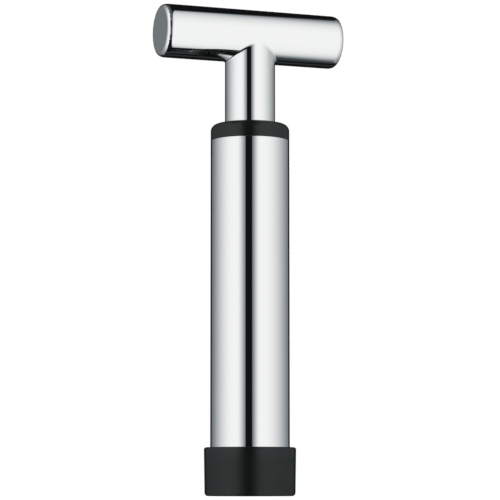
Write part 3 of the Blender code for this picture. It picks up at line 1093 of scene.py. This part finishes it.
@dataclass(frozen=True)
class PhotoCamera:
    """The camera: a long lens just above the table, turned to the left of the pump's front.

    Attributes:
        azimuth: Angle round the pump, in degrees; 0 looks along +Y.
        distance: Level distance from the barrel's axis.
        height: Height above the table.
        pitch: How far it looks up, in degrees.
        lens: Focal length in millimetres.
        sensor: Width of the sensor in millimetres.
        reach: Nearest and farthest distance that it sees.
    """

    azimuth: float = -20.966
    distance: float = 873.02 * MM
    height: float = 5.88 * MM
    pitch: float = 5.738
    lens: float = 165.13
    sensor: float = 36.0
    reach: Window = (0.05, 100.0)

    def towards(self) -> Vector:
        """Level direction from the pump to the camera."""
        turn = math.radians(self.azimuth)
        return Vector((math.sin(turn), -math.cos(turn), 0.0))

    def aside(self) -> Vector:
        """Level direction to the right, as the camera sees the pump."""
        turn = math.radians(self.azimuth)
        return Vector((math.cos(turn), math.sin(turn), 0.0))

    def build(self) -> None:
        """Make the camera and aim it."""
        data = bpy.data.cameras.new("photo_camera")
        data.sensor_width = self.sensor
        data.lens = self.lens
        data.clip_start, data.clip_end = self.reach
        camera = bpy.data.objects.new("photo_camera", data)
        bpy.context.scene.collection.objects.link(camera)
        camera.location = self.towards() * self.distance + Vector((0.0, 0.0, self.height))
        pitch = math.radians(self.pitch)
        aim = Vector((0.0, 0.0, math.sin(pitch))) - self.towards() * math.cos(pitch)
        camera.rotation_mode = "QUATERNION"
        camera.rotation_quaternion = aim.to_track_quat("-Z", "Y")
        bpy.context.scene.camera = camera


@dataclass(frozen=True)
class LightWall:
    """A tall sheet of light beside the camera's line.

    Its places are degrees round from the camera, as the pump sees them.

    Attributes:
        side: -1 for the left wall, 1 for the right one.
        edge: Where the wall starts, next to the dark gap that the camera looks through.
        rise_from: Where its glow would be nothing.
        rise_to: Where it reaches its full glow.
        fall_from: Where the glow starts to fade.
        fall_to: Where it is down to far_share.
        far_share: Share of the glow that is left at the far end.
        end: Where the wall ends.
        edge_blur: Width of the soft edge at its start.
        end_blur: Width of the soft edge at its end.
        drop: How far it hangs below the table's level, as a share of its distance to the side.
        drop_blur: Width of its soft lower edge, measured the same way.
        lean: How far its start leans away from the gap high up and low down.
    """

    side: int
    edge: float
    rise_from: float
    rise_to: float
    fall_from: float
    fall_to: float = 150.0
    far_share: float = 0.17
    end: float = 148.0
    edge_blur: float = 1.6
    end_blur: float = 6.0
    drop: float = 3.1
    drop_blur: float = 1.6
    lean: float = 12.0


LEFT_WALL = LightWall(-1, edge=13.0, rise_from=1.2, rise_to=38.3, fall_from=50.5, drop=2.3, drop_blur=1.2)
RIGHT_WALL = LightWall(
    1, edge=6.0, rise_from=-2.1, rise_to=28.0, fall_from=41.4, fall_to=155.8, far_share=0.19, lean=5.0
)


@dataclass(frozen=True)
class Strip:
    """A faint level strip of light low behind the pump.

    Attributes:
        up: Height of its middle, as the sine of the angle up.
        width: How far from the middle it fades to nothing, measured the same way.
        glow: Its brightness in the middle.
    """

    up: float
    width: float
    glow: float


@dataclass(frozen=True)
class Way:
    """The direction that a ray looks in, taken apart into sockets.

    Attributes:
        across: How far it points to the right, as the camera sees the pump.
        along: How far it points towards the camera.
        up: How far it points up.
        level: How far it points along the crossbar.
    """

    across: Socket
    along: Socket
    up: Socket
    level: Socket


@dataclass(frozen=True)
class Studio:
    """Plain white studio: two light walls, a dim ceiling over the left, faint strips, a pale table.

    Attributes:
        glow: Brightness of the walls' brightest part; dark is that of no lamp at all.
        cool: Colour of the dimmest light; the brightest is white.
        roof_across: This and the next two slope the roof's edge, which cuts the walls off above.
        shade_from: This and the next two dim the walls towards that edge.
        ceiling_from: Height where the ceiling starts, as the sine of the angle up.
        ceiling_edge: How far along the crossbar to the right the ceiling reaches.
        lean_from: Climb in degrees from which the walls' starts lean away from the gap.
        lean_near: Angle from the camera up to which they lean fully; from lean_far on they don't.
        strip_from: How far away from the camera the strips behind the pump start.
    """

    walls: tuple[LightWall, LightWall] = (LEFT_WALL, RIGHT_WALL)
    glow: float = 0.97
    cool: Colour = (0.90, 1.0, 1.05)
    dark: float = 0.0065
    roof_across: float = 0.936
    roof_up: float = 0.316
    roof_along: float = 0.04
    roof_blur: float = 0.05
    shade_from: float = -0.2
    shade_to: float = 0.46
    shade_share: float = 0.68
    ceiling_glow: float = 0.1
    ceiling_from: float = 0.25
    ceiling_full: float = 0.7
    ceiling_edge: float = 0.24
    ceiling_fade: float = 0.26
    lean_from: float = 8.0
    lean_to: float = 36.0
    lean_near: float = 15.0
    lean_far: float = 41.0
    strips: tuple[Strip, ...] = (Strip(-0.64, 0.12, 0.03), Strip(-0.87, 0.08, 0.04))
    strip_from: float = -0.2
    strip_to: float = -0.5
    floor_size: float = 30.0
    floor_glow: float = 0.72
    floor_colour: Colour = (0.8, 0.8, 0.8)
    floor_roughness: float = 0.9

    def build(self, camera: PhotoCamera) -> None:
        """Light the studio and lay the table.

        Args:
            camera: The camera whose line the walls stand beside.
        """
        self.light(camera)
        self.table()

    def light(self, camera: PhotoCamera) -> None:
        """Make the world: white where the camera looks past the pump, the studio's lamps for the rest.

        Args:
            camera: The camera whose line the walls stand beside.
        """
        world = bpy.data.worlds.new("studio_light")
        world.use_nodes = True
        bpy.context.scene.world = world
        graph = Graph(world.node_tree)
        way = self.take_apart(graph, camera)
        lit = graph.maths("MULTIPLY", self.both_walls(graph, way), self.roof(graph, way))
        lit = graph.maths("ADD", lit, self.faint_lights(graph, way))
        colour = graph.blend(graph.ramp(lit, 0.0, 1.0), self.cool, WHITE)
        power = graph.maths("MULTIPLY_ADD", lit, self.glow, self.dark)
        studio = graph.add("Background", {"Color": colour, "Strength": power}).outputs[0]
        plain = graph.add("Background", {"Color": (*WHITE, 1.0), "Strength": 1.0}).outputs[0]
        seen = graph.add("LightPath").outputs["Is Camera Ray"]
        mixed = graph.add("MixShader", {0: seen, 1: studio, 2: plain}).outputs[0]
        graph.add("OutputWorld", {"Surface": mixed})
        LOG.info("the studio has %d light walls and %d strips", len(self.walls), len(self.strips))

    def take_apart(self, graph: Graph, camera: PhotoCamera) -> Way:
        """Take the direction apart as the camera's line has it.

        Args:
            graph: The world's graph.
            camera: The camera.

        Returns:
            The direction's parts.
        """
        way = graph.add("TexCoord").outputs["Generated"]
        parts = []
        for line in (camera.aside(), camera.towards()):
            product = graph.add("VectorMath", {0: way, 1: line}, operation="DOT_PRODUCT")
            parts.append(product.outputs["Value"])
        level, _, up = graph.add("SeparateXYZ", {0: way}).outputs
        return Way(*parts, up, level)

    def roof(self, graph: Graph, way: Way) -> Socket:
        """Cut the walls off along the roof's sloping edge and dim them towards it.

        Args:
            graph: The world's graph.
            way: The direction.

        Returns:
            The share of the walls' light that is left, from 0 to 1.
        """
        under = graph.maths("MULTIPLY", graph.maths("ABSOLUTE", way.across), self.roof_across)
        under = graph.maths("SUBTRACT", under, graph.maths("MULTIPLY", way.up, self.roof_up))
        under = graph.maths("SUBTRACT", under, graph.maths("MULTIPLY", way.along, self.roof_along))
        clear = graph.ramp(under, -self.roof_blur / 2, self.roof_blur / 2)
        shade = graph.ramp(under, self.shade_from, self.shade_to, self.shade_share, 1.0)
        return graph.maths("MULTIPLY", clear, shade)

    def faint_lights(self, graph: Graph, way: Way) -> Socket:
        """Work out the brightness of the ceiling and of the strips behind the pump.

        Args:
            graph: The world's graph.
            way: The direction.

        Returns:
            The brightness.
        """
        beside = graph.ramp(way.level, self.ceiling_edge, self.ceiling_edge - self.ceiling_fade)
        ceiling = graph.ramp(way.up, self.ceiling_from, self.ceiling_full, 0.0, self.ceiling_glow)
        faint = graph.maths("MULTIPLY", beside, ceiling)
        behind = graph.ramp(way.along, self.strip_from, self.strip_to)
        for strip in self.strips:
            away = graph.maths("ABSOLUTE", graph.maths("SUBTRACT", way.up, strip.up))
            glow = graph.ramp(away, 0.0, strip.width, strip.glow, 0.0)
            faint = graph.maths("ADD", faint, graph.maths("MULTIPLY", glow, behind))
        return faint

    def both_walls(self, graph: Graph, way: Way) -> Socket:
        """Work out the brightness of the two light walls.

        Args:
            graph: The world's graph.
            way: The direction.

        Returns:
            The brightness, from 0 to 1.
        """
        turn = graph.maths("DEGREES", graph.maths("ARCTAN2", way.across, way.along))
        slope = graph.maths("DIVIDE", way.up, graph.maths("ABSOLUTE", way.across))
        climb = graph.maths("DEGREES", graph.maths("ARCSINE", graph.maths("ABSOLUTE", way.up)))
        tilt = graph.ramp(climb, self.lean_from, self.lean_to)
        return graph.maths("ADD", *[self.wall(graph, wall, turn, slope, tilt) for wall in self.walls])

    def wall(self, graph: Graph, wall: LightWall, turn: Socket, slope: Socket, tilt: Socket) -> Socket:
        """Work out how bright one wall is in each direction.

        Args:
            graph: The world's graph.
            wall: The wall.
            turn: The direction's angle round from the camera, in degrees, positive to the right.
            slope: How steeply the direction climbs, as a share of its way to the side.
            tilt: How much of the wall's lean shows there, from 0 to 1.

        Returns:
            The brightness, from 0 to 1.
        """
        angle = graph.maths("MULTIPLY", turn, float(wall.side))
        lean = graph.ramp(angle, self.lean_near, self.lean_far, wall.lean, 0.0)
        near = graph.maths("SUBTRACT", angle, graph.maths("MULTIPLY", tilt, lean))
        blur, end_blur, drop_blur = wall.edge_blur / 2, wall.end_blur / 2, wall.drop_blur / 2
        start = graph.ramp(near, wall.edge - blur, wall.edge + blur)
        rise = graph.ramp(near, wall.rise_from, wall.rise_to)
        fall = graph.ramp(angle, wall.fall_from, wall.fall_to, 1.0, wall.far_share)
        stop = graph.ramp(angle, wall.end - end_blur, wall.end + end_blur, 1.0, 0.0)
        above = graph.ramp(slope, -wall.drop - drop_blur, -wall.drop + drop_blur)
        across = graph.maths("MULTIPLY", graph.maths("MULTIPLY", start, rise), above)
        return graph.maths("MULTIPLY", across, graph.maths("MULTIPLY", fall, stop))

    def table(self) -> None:
        """Lay the pale table, whose own glow keeps it white up to the pump's soft contact shadow."""
        bm = bmesh.new()
        bmesh.ops.create_grid(bm, x_segments=2, y_segments=2, size=self.floor_size)
        table = new_piece(bm, "table_top")
        material = bpy.data.materials.new("table_white")
        material.use_nodes = True
        shader = material.node_tree.nodes["Principled BSDF"]
        shader.inputs["Base Color"].default_value = (*self.floor_colour, 1.0)
        shader.inputs["Roughness"].default_value = self.floor_roughness
        shader.inputs["Emission Color"].default_value = (*WHITE, 1.0)
        shader.inputs["Emission Strength"].default_value = self.floor_glow
        table.data.materials.append(material)
        table.visible_glossy = False


def main() -> None:
    """Build the sub-assemblies from the foot up, then the studio round them."""
    logging.basicConfig(level=logging.INFO, format="%(name)s: %(message)s")
    for assembly in (Foot(), Barrel(), Guide(), Handle(), Piston(), Valve()):
        assembly.build()
        LOG.info("%s is done", type(assembly).__name__)
    camera = PhotoCamera()
    camera.build()
    Studio().build(camera)
    bpy.context.scene.view_settings.view_transform = "Standard"


if __name__ == "__main__":
    main()
